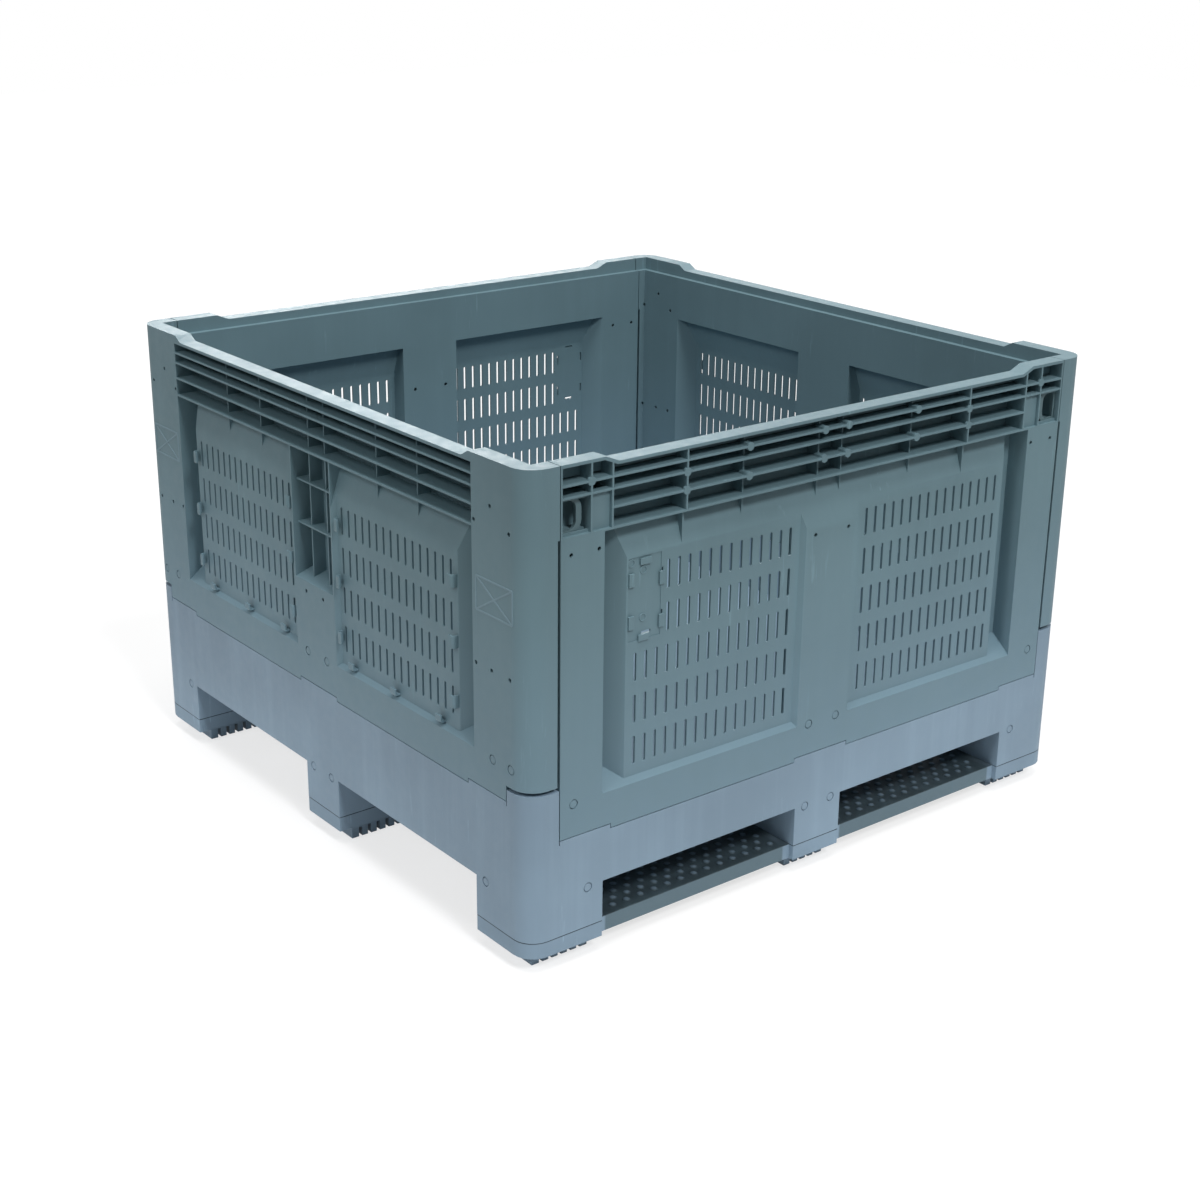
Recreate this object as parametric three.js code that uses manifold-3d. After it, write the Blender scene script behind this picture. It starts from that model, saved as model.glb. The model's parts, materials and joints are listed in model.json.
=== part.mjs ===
// Collapsible bulk container: a pallet base on three runners, two long walls that fold inward on
// hinge pins, two end walls that wrap round the corners, and four sprung latches.
// Millimetres, +Z up. The origin is on the ground, at the middle of the footprint.
// +X runs along the front wall, and -Y is the side that the front wall faces.
import * as THREE from 'three';
import { mergeVertices, mergeGeometries } from 'three/addons/utils/BufferGeometryUtils.js';
import Module from 'manifold-3d';

const wasm = await Module();
wasm.setup();

// Overall size
const length = 1200;
const width = 1190;
const height = 796;
const cornerRadius = 37;
const clearance = 0.3;
const seam = 1.5;

// Heights above the ground
const runnerBottom = 25;
const runnerTop = 52;
const forkTop = 121;
const floorTop = 150;
const longWallBottom = 208;
const endWallBottom = 271.5;
const postBottom = 303.5;
const columnGap = 6.5;

// Wall section
const wallDepth = 42;
const skin = 3.5;
const ribThickness = 3;
const rimWidth = 30;
const rimEdge = 5;
const rimRise = 10;
const ledgeDrop = 25;
const postWidth = 58.5;
const postSeamRelief = 3.5;

const longWallHalf = length / 2 - postWidth - seam;
const endWallHalf = width / 2;
const endSlabHalf = width / 2 - wallDepth - 11;
const wallTopLow = height - rimRise;
const ledgeTop = height - ledgeDrop;
const windowOuter = longWallHalf - 79;

// Lips of the base that stand in front of a wall's bottom edge
const lipRise = 5.5;
const lipFrom = windowOuter - 18;
const lipMiddleHalf = 60;

// Ribs under the rim: the heights of their middles, and the distances of the uprights
const ribHeights = { low: height - 109, third: height - 78, second: height - 50, first: height - 32 };
const shortRibStep = 15;
const latchRibAt = windowOuter - 14.3;
const boltRibAt = longWallHalf - 55;
const outerRibAt = windowOuter * 0.665;
const endOuterRibAt = windowOuter * 0.646;
const panelRibAt = windowOuter * 0.3965;
const middleRibAt = 25.5;
const bossRadius = 7;

// Vent panels
const panelDepth = 8;
const panelInnerMargin = 6.5;
const panelOuterMargin = 48;
const slopeRise = 3;
const sillRise = 0.8;
const sideDepth = wallDepth - skin;
const windowTop = ribHeights.low - ribThickness / 2;
const panelTop = height - 162.5;
const slopeDepth = panelDepth + (windowTop - panelTop) / slopeRise;
const slotWidth = 5.5;
const slotHeight = 46.5;
const slotFirst = 84;
const slotColumns = 16;
const slotOuterMargin = 66.5;
const slotPitch = (windowOuter - slotOuterMargin - slotFirst) / (slotColumns - 1);
const slotTop = height - 181;
const labelColumns = 3;
const labelRows = 2;
const labelDepth = 1;
const labelWidth = 62;
const labelHeight = 131;
const labelMargin = 4;

// The open pocket in the middle of an end wall
const pocketBottom = height - 336;
const pocketRibs = [height - 167.5, height - 242.5];
const pocketRibStep = 10;

// Hinges
const hingeRadius = 7;
const hingeSetIn = 35;
const hingeBarDepth = 9;
const hingeBarHeight = 18;
const hingeSpacing = (length - 500) / 2;
const hingePlaces = [-hingeSpacing, 0, hingeSpacing];
const hingeEarWidth = 60;
const pinRadius = 3;
const pinLength = 100;

// Latches
const latchPlate = {
  in: longWallHalf - 4,
  out: longWallHalf - 44.5,
  low: ribHeights.low + 3.5,
  high: ribHeights.second - 3,
};
const latchFace = 10;
const latchThickness = 6;
const latchCorner = 18;
const fingerHole = {
  in: longWallHalf - 7,
  out: longWallHalf - 34,
  low: latchPlate.low + 4.5,
  high: latchPlate.high - 4.5,
};
const boltLow = ribHeights.third - 8;
const boltHigh = ribHeights.third + 4;
const boltTip = 0.8;

// Feet, runners and the stacking pads under them
const cornerFootLength = 142.6;
const cornerFootWidth = 133;
const middleFootHalf = 52;
const runnerSetIn = 10;
const padSetIn = 28;
const padGroove = 6;
const padGroovePitch = 18;
const padGrooveHeight = 18;

function toSolid(geometry) {
  const plain = geometry.index ? geometry.toNonIndexed() : geometry.clone();
  plain.deleteAttribute('normal');
  plain.deleteAttribute('uv');
  const merged = mergeVertices(plain, 1e-4);
  return new wasm.Manifold(new wasm.Mesh({
    numProp: 3,
    vertProperties: new Float32Array(merged.attributes.position.array),
    triVerts: new Uint32Array(merged.index.array),
  }));
}

function boxGeometry(x0, x1, y0, y1, z0, z1) {
  const geometry = new THREE.BoxGeometry(x1 - x0, y1 - y0, z1 - z0);
  return geometry.translate((x0 + x1) / 2, (y0 + y1) / 2, (z0 + z1) / 2);
}

function block(x0, x1, y0, y1, z0, z1) {
  return toSolid(boxGeometry(x0, x1, y0, y1, z0, z1));
}

// A box whose two ends across Y are different rectangles: each is [x0, x1, z0, z1].
function tapered(yNear, near, yFar, far) {
  const geometry = new THREE.BoxGeometry(1, 1, 1);
  const position = geometry.attributes.position;
  for (let i = 0; i < position.count; i += 1) {
    const end = position.getY(i) < 0 ? near : far;
    const x = position.getX(i) < 0 ? end[0] : end[1];
    const z = position.getZ(i) < 0 ? end[2] : end[3];
    position.setXYZ(i, x, position.getY(i) < 0 ? yNear : yFar, z);
  }
  return toSolid(geometry);
}

function shapeOf(points) {
  return new THREE.Shape(points.map(([a, b]) => new THREE.Vector2(a, b)));
}

// An outline seen from above, [x, y], raised from z0 to z1.
function plate(points, z0, z1) {
  const geometry = new THREE.ExtrudeGeometry(shapeOf(points), { depth: z1 - z0, bevelEnabled: false });
  return toSolid(geometry.translate(0, 0, z0));
}

// An outline seen from outside the wall, [x, z], carried from depth y0 to y1.
function face(points, y0, y1) {
  const geometry = new THREE.ExtrudeGeometry(shapeOf(points), { depth: y1 - y0, bevelEnabled: false });
  return toSolid(geometry.rotateX(Math.PI / 2).translate(0, y1, 0));
}

// A cross-section, [y, z], carried from x0 to x1.
function section(points, x0, x1) {
  const geometry = new THREE.ExtrudeGeometry(shapeOf(points), { depth: x1 - x0, bevelEnabled: false });
  const turn = new THREE.Matrix4().makeBasis(
    new THREE.Vector3(0, 1, 0), new THREE.Vector3(0, 0, 1), new THREE.Vector3(1, 0, 0));
  return toSolid(geometry.applyMatrix4(turn).translate(x0, 0, 0));
}

function rodAlongX(radius, x0, x1, y, z, sides) {
  const geometry = new THREE.CylinderGeometry(radius, radius, x1 - x0, sides);
  return toSolid(geometry.rotateZ(Math.PI / 2).translate((x0 + x1) / 2, y, z));
}

function rodAlongY(radius, x, z, y0, y1, sides) {
  const geometry = new THREE.CylinderGeometry(radius, radius, y1 - y0, sides);
  return toSolid(geometry.translate(x, (y0 + y1) / 2, z));
}

function join(solids) {
  return solids.reduce((all, solid) => all.add(solid));
}

function cut(body, solids) {
  return solids.length ? body.subtract(join(solids)) : body;
}

function arc(cx, cy, radius, from, to, steps) {
  return Array.from({ length: steps + 1 }, (_, i) => {
    const angle = THREE.MathUtils.degToRad(from + (to - from) * i / steps);
    return [cx + radius * Math.cos(angle), cy + radius * Math.sin(angle)];
  });
}

function roundedRectangle(halfX, halfY, radius, steps) {
  return [
    ...arc(halfX - radius, halfY - radius, radius, 0, 90, steps),
    ...arc(radius - halfX, halfY - radius, radius, 90, 180, steps),
    ...arc(radius - halfX, radius - halfY, radius, 180, 270, steps),
    ...arc(halfX - radius, radius - halfY, radius, 270, 360, steps),
  ];
}

// Walls. In a wall's own space x runs along it, y is the depth in from its outer face, z is up.

function inLabelField(side, row, column) {
  return side < 0 && row < labelRows && column >= slotColumns - labelColumns;
}

function slots(spec) {
  const boxes = [];
  const half = slotWidth / 2;
  const rowPitch = (slotTop - slotHeight - spec.slotBottom) / (spec.rows - 1);
  for (const side of [-1, 1]) {
    for (let row = 0; row < spec.rows; row += 1) {
      const top = slotTop - row * rowPitch;
      for (let column = 0; column < slotColumns; column += 1) {
        if (!(spec.label && inLabelField(side, row, column))) {
          const x = side * (slotFirst + column * slotPitch);
          boxes.push(boxGeometry(
            x - half, x + half, panelDepth - 2, panelDepth + skin + 2, top - slotHeight, top));
        }
      }
    }
  }
  return toSolid(mergeGeometries(boxes));
}

function slopeHeight(depth) {
  return panelTop + (depth - panelDepth) * slopeRise;
}

// What is taken away outside one vent panel, given for the right half of the wall. Beside the outer
// pillar the panel's edge leans back at 45 degrees into a deep groove.
function panelOutside(spec) {
  const inner = spec.windowInner;
  const faceInner = inner + panelInnerMargin;
  const faceOuter = windowOuter - panelOuterMargin;
  const faceBottom = spec.windowBottom + spec.ledgeRise;
  const grow = 1 / panelDepth;
  const frontPocket = tapered(
    -1, [inner - panelInnerMargin * grow, windowOuter, spec.windowBottom - spec.ledgeRise * grow, windowTop],
    panelDepth, [faceInner, windowOuter, faceBottom, windowTop]);
  const deepest = sideDepth - panelDepth;
  const behind = tapered(
    panelDepth, [faceInner, windowOuter, faceBottom, windowTop],
    sideDepth, [faceInner, windowOuter, faceBottom + deepest * sillRise, windowTop]);
  const body = tapered(
    panelDepth - 1, [faceInner - 5, faceOuter - 1, faceBottom - 5, slopeHeight(panelDepth - 1)],
    sideDepth + 1, [faceInner - 5, faceOuter + deepest + 1, faceBottom - 5, slopeHeight(sideDepth + 1)]);
  return frontPocket.add(behind.subtract(body));
}

// What is taken away inside one vent panel, so that it stays a thin skin.
function panelInside(spec) {
  const near = panelDepth + skin;
  const far = slopeDepth + skin;
  const end = wallDepth + 1;
  const inner = spec.windowInner + panelInnerMargin + skin;
  const low = spec.windowBottom + spec.ledgeRise + skin;
  const outer = windowOuter - panelOuterMargin - skin / 2;
  const topNear = panelTop - skin;
  const topFar = slopeHeight(slopeDepth) - skin;
  const dish = tapered(
    near, [inner, outer, low, topNear],
    far, [inner - skin, outer + far - near, low - skin, topFar]);
  const back = tapered(
    far, [inner - skin, outer + far - near, low - skin, topFar],
    end, [inner - skin, outer + end - near, low - skin, topFar]);
  return dish.add(back);
}

function mirrored(solid) {
  return [solid, solid.mirror([1, 0, 0])];
}

function rimProfile(half, low, raisedFrom, raisedTo) {
  return [
    [-half, low], [half, low], [half, height], [raisedFrom, height], [raisedTo, wallTopLow],
    [-raisedTo, wallTopLow], [-raisedFrom, height], [-half, height],
  ];
}

// The ribs and bosses of the open band under the rim.
function ribBand(spec) {
  const half = spec.bandHalf;
  const half3 = ribThickness / 2;
  const top = wallTopLow - 1;
  const low = ribHeights.low - half3;
  const parts = [
    block(-half, half, wallDepth - skin, wallDepth, low, ledgeTop),
    block(-half, half, rimWidth - skin, wallDepth, ledgeTop - skin, ledgeTop),
    block(-half, half, rimWidth - skin, rimWidth, ledgeTop - 1, top),
    block(-half, half, 0, wallDepth - 1, low, ribHeights.low + half3),
    block(-half, half, 0, wallDepth - 1, ribHeights.second - half3, ribHeights.second + half3),
    block(-half, half, 0, wallDepth - 1, ribHeights.first - half3, ribHeights.first + half3),
    block(-spec.thirdRibHalf, spec.thirdRibHalf, 0, wallDepth - 1,
      ribHeights.third - half3, ribHeights.third + half3),
  ];
  for (const [at, step] of spec.uprights) {
    for (const x of [-at, at]) {
      parts.push(block(x - half3, x + half3, step, wallDepth - 1, low, ledgeTop - 1));
      parts.push(block(x - half3, x + half3, step, rimWidth - 1, ledgeTop - 1, top));
    }
  }
  for (const [at, rib, step] of spec.bosses) {
    for (const x of [-at, at]) {
      parts.push(rodAlongY(bossRadius, x, ribHeights[rib], 0, step + 4, 8));
    }
  }
  return join(parts);
}

// Triangular ribs under the lowest rib that run down to the panel's top slope.
function gussets(spec) {
  const top = ribHeights.low;
  const back = slopeDepth + 1;
  const foot = slopeHeight(slopeDepth) - 1;
  return spec.gussets.flatMap(([at, step]) => [-at, at].map((x) => section([
    [step, top], [step, slopeHeight(step) - 2], [back, foot], [back, top],
  ], x - ribThickness / 2, x + ribThickness / 2)));
}

function hingeCuts(bottom) {
  const z = bottom + hingeRadius;
  const y = hingeSetIn;
  const corner = block(-length, length, y, wallDepth + 1, bottom - 1, z)
    .subtract(rodAlongX(hingeRadius, -length, length, y, z, 12));
  const cuts = [corner];
  for (const place of hingePlaces) {
    const halfNotch = hingeEarWidth / 2 + 1;
    cuts.push(block(place - halfNotch, place + halfNotch, y - hingeRadius - 1, wallDepth + 1,
      bottom - 1, z + hingeRadius + 1));
    cuts.push(rodAlongX(pinRadius + 0.5, place - pinLength / 2 - 1, place + pinLength / 2 + 1, y, z, 8));
  }
  return cuts;
}

// Shallow steps along the bottom edge, where the base's lip stands in front of the wall.
function lipCuts(bottom, half) {
  const depth = skin + 1;
  const top = bottom + lipRise + seam;
  return [
    block(-half - 1, -lipFrom, -1, depth, bottom - 1, top),
    block(lipFrom, half + 1, -1, depth, bottom - 1, top),
    block(-lipMiddleHalf, lipMiddleHalf, -1, depth, bottom - 1, top),
  ];
}

function bandHollows(bottom, top, from, to, count) {
  const pitch = (to - from) / count;
  const web = skin / 2;
  return Array.from({ length: count }, (_, i) => block(
    from + i * pitch + web, from + (i + 1) * pitch - web, skin, wallDepth - skin, bottom - 1, top));
}

const longWall = {
  windowInner: 57,
  windowBottom: 270,
  ledgeRise: 8.5,
  slotBottom: 297.3,
  rows: 5,
  label: true,
  bandHalf: longWallHalf,
  thirdRibHalf: latchRibAt,
  uprights: [[longWallHalf - ribThickness / 2, 0], [boltRibAt, 0], [latchRibAt, 0], [outerRibAt, 0],
    [panelRibAt, shortRibStep], [middleRibAt, shortRibStep]],
  bosses: [[boltRibAt, 'first', 0], [outerRibAt, 'second', 0], [outerRibAt, 'third', 0],
    [panelRibAt, 'first', shortRibStep], [panelRibAt, 'third', shortRibStep],
    [middleRibAt, 'first', shortRibStep], [middleRibAt, 'third', shortRibStep]],
  gussets: [[outerRibAt, panelDepth + 0.5], [panelRibAt, shortRibStep], [middleRibAt, shortRibStep]],
};

const endWall = {
  windowInner: 64,
  windowBottom: 336,
  ledgeRise: 6.5,
  slotBottom: 365.1,
  rows: 4,
  label: false,
  bandHalf: windowOuter + 2,
  thirdRibHalf: windowOuter + 2,
  uprights: [[endOuterRibAt, shortRibStep], [panelRibAt, shortRibStep], [middleRibAt, shortRibStep]],
  bosses: [],
  gussets: [[endOuterRibAt, shortRibStep], [panelRibAt, shortRibStep]],
};

// The latch bay: rails and lips that hold the sliding plate.
function latchBay() {
  const low = ribHeights.low + ribThickness / 2;
  const high = ribHeights.second - ribThickness / 2;
  const seat = latchFace + latchThickness + clearance;
  const lip = latchFace - clearance;
  return join([
    block(boltRibAt, longWallHalf, seat, wallDepth - 1, low - 1, low + 4),
    block(boltRibAt, longWallHalf, seat, wallDepth - 1, high - 4, high + 1),
    block(boltRibAt, longWallHalf, lip - skin, lip, low - 1, low + 4),
    block(boltRibAt, longWallHalf, lip - skin, lip, high - 4, high + 1),
  ]);
}

function boltWindow() {
  const gap = 0.6;
  return block(longWallHalf - ribThickness - 1, longWallHalf + 1, latchFace - gap,
    latchFace + latchThickness + gap, boltLow - gap, boltHigh + gap);
}

function longWallSolid() {
  const spec = longWall;
  const half = longWallHalf;
  const hollowTop = slopeHeight(0) - 12;
  let body = block(-half, half, 0, wallDepth, longWallBottom, ribHeights.low);
  const slope = section([
    [-1, slopeHeight(-1)], [slopeDepth, windowTop], [-1, windowTop],
  ], -windowOuter, windowOuter);
  const pillarHollow = block(windowOuter + skin, half - skin, skin, wallDepth - skin,
    longWallBottom - 1, windowTop - skin);
  const cuts = [
    slope,
    ...mirrored(panelOutside(spec)),
    ...mirrored(panelInside(spec)),
    ...mirrored(pillarHollow),
    block(skin - spec.windowInner, spec.windowInner - skin, skin, wallDepth - skin,
      longWallBottom - 1, hollowTop),
  ];
  const hollowCeiling = spec.windowBottom - skin;
  for (const hollow of bandHollows(longWallBottom, hollowCeiling, spec.windowInner, windowOuter, 2)) {
    cuts.push(...mirrored(hollow));
  }
  body = cut(body, cuts);
  const closedBay = block(latchRibAt, boltRibAt, 6, 6 + skin, ribHeights.low, ribHeights.second);
  const hingeBar = block(-half, half, hingeSetIn - hingeBarDepth, wallDepth,
    longWallBottom, longWallBottom + hingeBarHeight);
  const raisedFrom = windowOuter - 1;
  const raisedTo = windowOuter - 25;
  const rim = face(rimProfile(half, wallTopLow - rimEdge, raisedFrom, raisedTo), 0, rimWidth);
  const raisedBack = face(rimProfile(half, ledgeTop - 1, raisedFrom, raisedTo), rimWidth - skin, rimWidth);
  const under = rimProfile(half + 5, wallTopLow - rimEdge - 5, raisedFrom + 2, raisedTo + 2);
  const underside = face(under, -1, rimWidth - skin).translate([0, 0, -rimEdge]);
  const raised = rim.subtract(underside);
  const endPlates = mirrored(block(half - ribThickness, half, 0, rimWidth, ledgeTop, height - 1));
  const innerEnds = mirrored(block(
    boltRibAt - ribThickness / 2, boltRibAt + ribThickness / 2, 0, rimWidth, ledgeTop, height - 1));
  body = join([body, ribBand(spec), ...gussets(spec), ...mirrored(latchBay()), ...mirrored(closedBay),
    hingeBar, raised, raisedBack, ...endPlates, ...innerEnds]);
  const labelLeft = -windowOuter + panelOuterMargin + labelMargin;
  const labelTop = panelTop - labelMargin;
  const label = block(labelLeft, labelLeft + labelWidth, panelDepth - 1, panelDepth + labelDepth,
    labelTop - labelHeight, labelTop);
  const bayCore = block(latchRibAt + 5, boltRibAt - 5, 14, wallDepth - skin - 2,
    ribHeights.second - ribThickness, ribHeights.second + ribThickness);
  return cut(body, [
    slots(spec),
    label,
    ...mirrored(bayCore),
    ...mirrored(boltWindow()),
    ...hingeCuts(longWallBottom),
    ...lipCuts(longWallBottom, half),
  ]);
}

// One post of an end wall seen from above: it turns the corner and ends beside the long wall.
function postOutline(from) {
  const end = endWallHalf;
  const inside = end - wallDepth;
  return [
    [from, 0],
    ...arc(end - cornerRadius, cornerRadius, cornerRadius, 270, 360, 6),
    [end, postWidth], [inside, postWidth], [inside, wallDepth], [from, wallDepth],
  ];
}

function boltSocket() {
  const gap = 2;
  return block(endWallHalf - latchFace - latchThickness - gap, endWallHalf - latchFace + gap,
    postWidth - 14, postWidth + 1, boltLow - gap, boltHigh + gap);
}

// The post's edge beside the long wall stands back under the latch.
function seamRelief() {
  return block(endWallHalf - wallDepth - 1, endWallHalf + 1, postWidth - postSeamRelief, postWidth + 1,
    postBottom - 1, ribHeights.low);
}

// The open pocket between the two panels, with a sloping floor.
function openPillar() {
  const half = endWall.windowInner - skin;
  const top = ribHeights.low - ribThickness / 2;
  const back = wallDepth - skin;
  return section([[-1, pocketBottom - 1], [back, pocketBottom + 12], [back, top], [-1, top]], -half, half);
}

function openPillarRibs() {
  const half = endWall.windowInner;
  const half3 = ribThickness / 2;
  const uprights = [-middleRibAt, middleRibAt].map((x) => block(
    x - half3, x + half3, shortRibStep, wallDepth - 1, pocketBottom - 2, ribHeights.low));
  const shelves = pocketRibs.map((z) => block(
    -half, half, pocketRibStep, wallDepth - 1, z - half3, z + half3));
  return join([...uprights, ...shelves]);
}

function postHollow() {
  const top = ledgeTop - skin;
  return block(windowOuter + skin, endSlabHalf - 8, skin, wallDepth - skin, endWallBottom - 1, top);
}

function endWallSolid() {
  const spec = endWall;
  const slab = block(-endSlabHalf, endSlabHalf, 0, wallDepth, endWallBottom, ribHeights.low);
  const posts = mirrored(plate(postOutline(windowOuter), postBottom, height));
  const slopes = mirrored(section([
    [-1, slopeHeight(-1)], [slopeDepth, windowTop], [-1, windowTop],
  ], spec.windowInner - 1, windowOuter));
  const cuts = [
    ...slopes,
    ...mirrored(panelOutside(spec)),
    ...mirrored(panelInside(spec)),
    openPillar(),
    block(skin - spec.windowInner, spec.windowInner - skin, skin, wallDepth - skin,
      endWallBottom - 1, pocketBottom - 10),
  ];
  const hollowCeiling = spec.windowBottom - skin;
  for (const hollow of bandHollows(endWallBottom, hollowCeiling, spec.windowInner, windowOuter, 2)) {
    cuts.push(...mirrored(hollow));
  }
  const body = cut(slab, cuts);
  const raisedFrom = windowOuter - 6;
  const raisedTo = windowOuter - 24;
  const half = windowOuter + 2;
  const rim = face(rimProfile(half, wallTopLow - rimEdge, raisedFrom, raisedTo), 0, rimWidth);
  const rimBack = face(rimProfile(half, ledgeTop - 1, raisedFrom, raisedTo), rimWidth - skin, rimWidth);
  const hingeBar = block(-endSlabHalf, endSlabHalf, hingeSetIn - hingeBarDepth, wallDepth,
    endWallBottom, endWallBottom + hingeBarHeight);
  const whole = join([
    body, ...posts, ribBand(spec), ...gussets(spec), openPillarRibs(), rim, rimBack, hingeBar]);
  const shoulder = endWallHalf - rimWidth;
  return cut(whole, [
    slots(spec),
    ...mirrored(block(windowOuter - 2, shoulder, rimWidth, postWidth + 1, ledgeTop, height + 1)),
    ...mirrored(postHollow()),
    ...mirrored(boltSocket()),
    ...mirrored(seamRelief()),
    ...hingeCuts(endWallBottom),
    ...lipCuts(endWallBottom, endSlabHalf),
  ]);
}

// A latch: a plate with a D-shaped finger hole and a flat bolt, for the right end of a long wall.
function latchSolid() {
  const plateOutline = [
    [latchPlate.in, latchPlate.low], [latchPlate.in, latchPlate.high],
    ...arc(latchPlate.out + latchCorner, latchPlate.high - latchCorner, latchCorner, 90, 180, 5),
    ...arc(latchPlate.out + latchCorner, latchPlate.low + latchCorner, latchCorner, 180, 270, 5),
  ].reverse();
  const holeRadius = 12;
  const holeOutline = [
    [fingerHole.in, fingerHole.low], [fingerHole.in, fingerHole.high],
    ...arc(fingerHole.out + holeRadius, fingerHole.high - holeRadius, holeRadius, 90, 180, 4),
    ...arc(fingerHole.out + holeRadius, fingerHole.low + holeRadius, holeRadius, 180, 270, 4),
  ].reverse();
  const grip = face(plateOutline, latchFace, latchFace + latchThickness);
  const hole = face(holeOutline, latchFace - 1, latchFace + latchThickness + 1);
  const bolt = block(latchPlate.in - 3, longWallHalf - boltTip, latchFace, latchFace + latchThickness,
    boltLow, boltHigh);
  return grip.add(bolt).subtract(hole);
}

function pinSolid(bottom, place) {
  return rodAlongX(pinRadius, place - pinLength / 2, place + pinLength / 2,
    hingeSetIn, bottom + hingeRadius, 8);
}

// The base

function footBoxes(z0, z1, inset) {
  const boxes = [];
  const halfX = length / 2;
  const halfY = width / 2;
  const middle = middleFootHalf - inset;
  const outerX = [halfX - cornerFootLength + inset * 0.3, halfX - inset];
  const outerY = [halfY - cornerFootWidth + inset * 0.3, halfY - inset];
  for (const x of [[-outerX[1], -outerX[0]], [-middle, middle], outerX]) {
    for (const y of [[-outerY[1], -outerY[0]], [-middle, middle], outerY]) {
      boxes.push(block(x[0], x[1], y[0], y[1], z0, z1));
    }
  }
  return boxes;
}

// A hinge ear on top of the base wall, in the space of the wall above it.
function hingeEar(bottom, place) {
  const z = bottom + hingeRadius;
  const half = hingeEarWidth / 2;
  const neck = block(place - half, place + half, hingeSetIn - hingeRadius, wallDepth, bottom - seam - 4, z);
  const eye = rodAlongX(hingeRadius, place - half, place + half, hingeSetIn, z, 12);
  const bore = rodAlongX(pinRadius + 0.4, place - half - 1, place + half + 1, hingeSetIn, z, 8);
  return neck.add(eye).subtract(bore);
}

function longSide(solid, sign) {
  const placed = solid.translate([0, -width / 2, 0]);
  return sign < 0 ? placed : placed.rotate([0, 0, 180]);
}

function endSide(solid, sign) {
  const placed = solid.translate([0, -length / 2, 0]);
  return placed.rotate([0, 0, sign < 0 ? -90 : 90]);
}

function lipsOf(bottom, half) {
  const lip = (x0, x1) => block(x0, x1, 0, skin, bottom - seam - 1, bottom + lipRise);
  const from = lipFrom + 1;
  const middle = lipMiddleHalf - 1;
  return [lip(-half, -from), lip(from, half), lip(-middle, middle)];
}

function baseSolid() {
  const halfX = length / 2;
  const halfY = width / 2;
  const outline = roundedRectangle(halfX, halfY, cornerRadius, 6);
  const tray = plate(outline, forkTop, longWallBottom - seam);
  const inside = block(wallDepth - halfX, halfX - wallDepth, wallDepth - halfY, halfY - wallDepth,
    floorTop, height);
  const columnTop = postBottom - columnGap;
  const column = mirrored(plate(postOutline(endSlabHalf + seam), longWallBottom - seam - 1, columnTop));
  const endBand = join([
    block(-endSlabHalf - seam - 1, endSlabHalf + seam + 1, 0, wallDepth, longWallBottom - seam - 1,
      endWallBottom - seam),
    ...column,
    ...hingePlaces.map((place) => hingeEar(endWallBottom, place)),
    ...lipsOf(endWallBottom, endSlabHalf),
  ]);
  const longBand = join([
    ...hingePlaces.map((place) => hingeEar(longWallBottom, place)),
    ...lipsOf(longWallBottom, longWallHalf),
  ]);
  const feet = join(footBoxes(runnerTop + clearance, forkTop + 1, 0))
    .intersect(plate(outline, runnerTop, forkTop + 2));
  let body = tray.subtract(inside);
  const bands = [-1, 1].flatMap((sign) => [endSide(endBand, sign), longSide(longBand, sign)]);
  body = join([body, feet, ...bands]);
  const cuts = [];
  const cells = 4;
  const cellPitch = 200;
  for (let i = 0; i < cells; i += 1) {
    for (let j = 0; j < cells; j += 1) {
      const x = (i - (cells - 1) / 2) * cellPitch;
      const y = (j - (cells - 1) / 2) * cellPitch;
      const half = cellPitch / 2 - 26;
      cuts.push(block(x - half, x + half, y - half, y + half, forkTop - 1, floorTop - 6));
    }
  }
  return cut(body, cuts);
}

function padGrooves(xRange, yRange) {
  const grooves = [];
  const count = Math.floor((xRange[1] - xRange[0]) / padGroovePitch);
  const start = (xRange[0] + xRange[1]) / 2 - (count - 1) / 2 * padGroovePitch;
  for (let i = 0; i < count; i += 1) {
    const x = start + i * padGroovePitch;
    const half = padGroove / 2;
    grooves.push(block(x - half, x + half, yRange[0] - 1, yRange[1] + 1, -1, padGrooveHeight));
  }
  return grooves;
}

// A runner along X with a flat pad under each foot. The outer ones have rounded outer corners.
function runnerSolid(yLow, yHigh, padLow, padHigh) {
  const halfX = length / 2;
  const footEnds = [[-halfX, cornerFootLength - halfX], [-middleFootHalf, middleFootHalf],
    [halfX - cornerFootLength, halfX]];
  const outline = plate(roundedRectangle(halfX, width / 2, cornerRadius, 6), runnerBottom, runnerTop);
  const blocks = footEnds.map(([x0, x1]) => block(x0, x1, yLow, yHigh, runnerBottom, runnerTop));
  const outerSide = Math.sign(yLow + yHigh);
  const deepest = [yLow + (outerSide < 0 ? runnerSetIn : 2), yHigh - (outerSide > 0 ? runnerSetIn : 2)];
  blocks.push(block(-halfX + 60, halfX - 60, deepest[0], deepest[1], runnerBottom, runnerTop));
  const body = join(blocks).intersect(outline);
  const padEnds = [[padSetIn - halfX, cornerFootLength - halfX - 8], [8 - middleFootHalf, middleFootHalf - 8],
    [halfX - cornerFootLength + 8, halfX - padSetIn]];
  const pads = padEnds.map(([x0, x1]) => cut(
    block(x0, x1, padLow, padHigh, 0, runnerBottom + 1), padGrooves([x0 + 6, x1 - 6], [padLow, padHigh])));
  const lighten = [-1, 1].flatMap((side) => {
    const from = side < 0 ? cornerFootLength - halfX + 20 : middleFootHalf + 20;
    const to = side < 0 ? -middleFootHalf - 20 : halfX - cornerFootLength - 20;
    return [block(from, to, deepest[0] + 8, deepest[1] - 8, runnerBottom - 1, runnerTop - 5)];
  });
  return cut(join([body, ...pads]), lighten);
}

// Scene

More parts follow.
